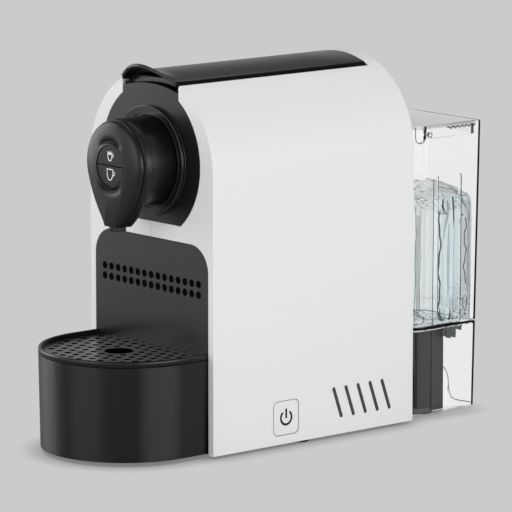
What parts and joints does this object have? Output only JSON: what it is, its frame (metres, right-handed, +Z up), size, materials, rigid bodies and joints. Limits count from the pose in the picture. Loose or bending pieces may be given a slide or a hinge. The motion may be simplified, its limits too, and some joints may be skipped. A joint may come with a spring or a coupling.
{
  "type": "capsule coffee machine",
  "caption": "Arched capsule coffee machine with lever lid, drop-shaped brewing head, capsule drawer with half-round drip tray and a clear lift-off water tank.",
  "frame": {"origin": "centre of the footprint at the level the feet stand on", "axes": "+Z up, -Y towards the user, +X to the right as the user sees it"},
  "size_m": [0.118, 0.2966, 0.2357],
  "materials": {
    "white_shell": "satin",
    "black_gloss": "gloss",
    "black_satin": "satin",
    "black_inner": "matte",
    "grey_inner": "matte",
    "steel": "brushed",
    "zinc": "matte",
    "heater": "cast",
    "rubber": "matte",
    "clear": "clear",
    "silicone": "matte",
    "board": "matte",
    "brass": "machined",
    "winding": "wound"
  },
  "bodies": {
    "chassis": {"base_plate": "black_inner", "rubber_feet": "rubber", "left_shell": "white_shell", "right_shell": "white_shell", "rear_cover": "black_satin", "dock_block": "black_satin", "dock_socket": "grey_inner", "dock_seal": "rubber", "cord_gland": "rubber", "head_plate": "black_gloss", "head_ring": "black_gloss", "brew_barrel": "black_gloss", "head_back": "black_gloss", "head_cover": "black_gloss", "spout_nozzle": "black_satin", "coffee_duct": "grey_inner", "button_board": "board", "brew_frame": "black_inner", "pierce_plate": "steel", "chute_cover": "black_satin", "lever_axle": "steel", "rocker_pins": "steel", "feed_tube": "steel", "hot_tube": "silicone", "thermoblock": "heater", "thermostats": "grey_inner", "pressure_tube": "silicone", "pump_body": "brass", "pump_coil": "winding", "pump_bracket": "zinc", "pump_mount": "rubber", "flow_meter": "grey_inner", "pump_feed_tube": "silicone", "suction_tube": "silicone", "control_board": "board", "power_switch": "board", "vent_screens": "black_inner", "rear_screws": "steel", "base_screws": "steel"},
    "lever": {"lever_lid": "black_gloss", "lever_yoke": "zinc", "crank_pin": "steel"},
    "rockers": {"rocker": "zinc", "drive_pin": "steel"},
    "cage": {"cage_carrier": "black_inner", "capsule_cage": "grey_inner", "cage_seal": "rubber", "cage_needles": "steel"},
    "small_button": {"small_cup_button": "black_gloss"},
    "large_button": {"large_cup_button": "black_gloss"},
    "power": {"power_button": "white_shell"},
    "drawer": {"front_panel": "black_gloss", "drip_tray": "black_gloss", "tray_rim": "black_gloss", "capsule_bin": "black_satin"},
    "grid": {"drip_grid": "steel"},
    "tank": {"water_tank": "clear", "valve_basket": "grey_inner"},
    "tank_lid_body": {"tank_lid": "clear"},
    "valve": {"tank_valve": "rubber"}
  },
  "joints": [
    {"name": "lever_hinge", "type": "hinge", "parent": "chassis", "child": "lever", "pos_m": [0, 0.05108, 0.215], "axis": [-1, 0, 0], "range_deg": [0, 72]},
    {"name": "rocker_hinge", "type": "hinge", "parent": "chassis", "child": "rockers", "pos_m": [0, 0.05108, 0.181], "axis": [1, 0, 0], "range_deg": [0, 52.56]},
    {"name": "cage_slide", "type": "slide", "parent": "chassis", "child": "cage", "axis": [0, 1, 0], "range_m": [0, 0.03001]},
    {"name": "small_button_push", "type": "slide", "parent": "chassis", "child": "small_button", "axis": [0, 1, 0], "range_m": [0, 0.0008], "stiffness_N_per_m": 900, "springref_m": -0.0004},
    {"name": "large_button_push", "type": "slide", "parent": "chassis", "child": "large_button", "axis": [0, 1, 0], "range_m": [0, 0.0008], "stiffness_N_per_m": 900, "springref_m": -0.0004},
    {"name": "power_button_push", "type": "slide", "parent": "chassis", "child": "power", "axis": [-1, 0, 0], "range_m": [0, 0.0015], "stiffness_N_per_m": 700, "springref_m": -0.0005},
    {"name": "drawer_slide", "type": "slide", "parent": "chassis", "child": "drawer", "axis": [0, -1, 0], "range_m": [0, 0.105]},
    {"name": "grid_lift", "type": "slide", "parent": "drawer", "child": "grid", "axis": [0, 0, 1], "range_m": [0, 0.04]},
    {"name": "tank_lift", "type": "slide", "parent": "chassis", "child": "tank", "axis": [0, 0, 1], "range_m": [0, 0.08]},
    {"name": "tank_lid_hinge", "type": "hinge", "parent": "tank", "child": "tank_lid_body", "pos_m": [0, 0.10587, 0.1803], "axis": [1, 0, 0], "range_deg": [0, 85]},
    {"name": "valve_lift", "type": "slide", "parent": "tank", "child": "valve", "axis": [0, 0, 1], "range_m": [0, 0.003], "stiffness_N_per_m": 60, "springref_m": -0.003}
  ],
  "couplings": [
    {"joint": "rocker_hinge", "follows": "lever_hinge", "ratio": 0.72966},
    {"joint": "cage_slide", "follows": "lever_hinge", "m_per_rad": 0.023873}
  ]
}
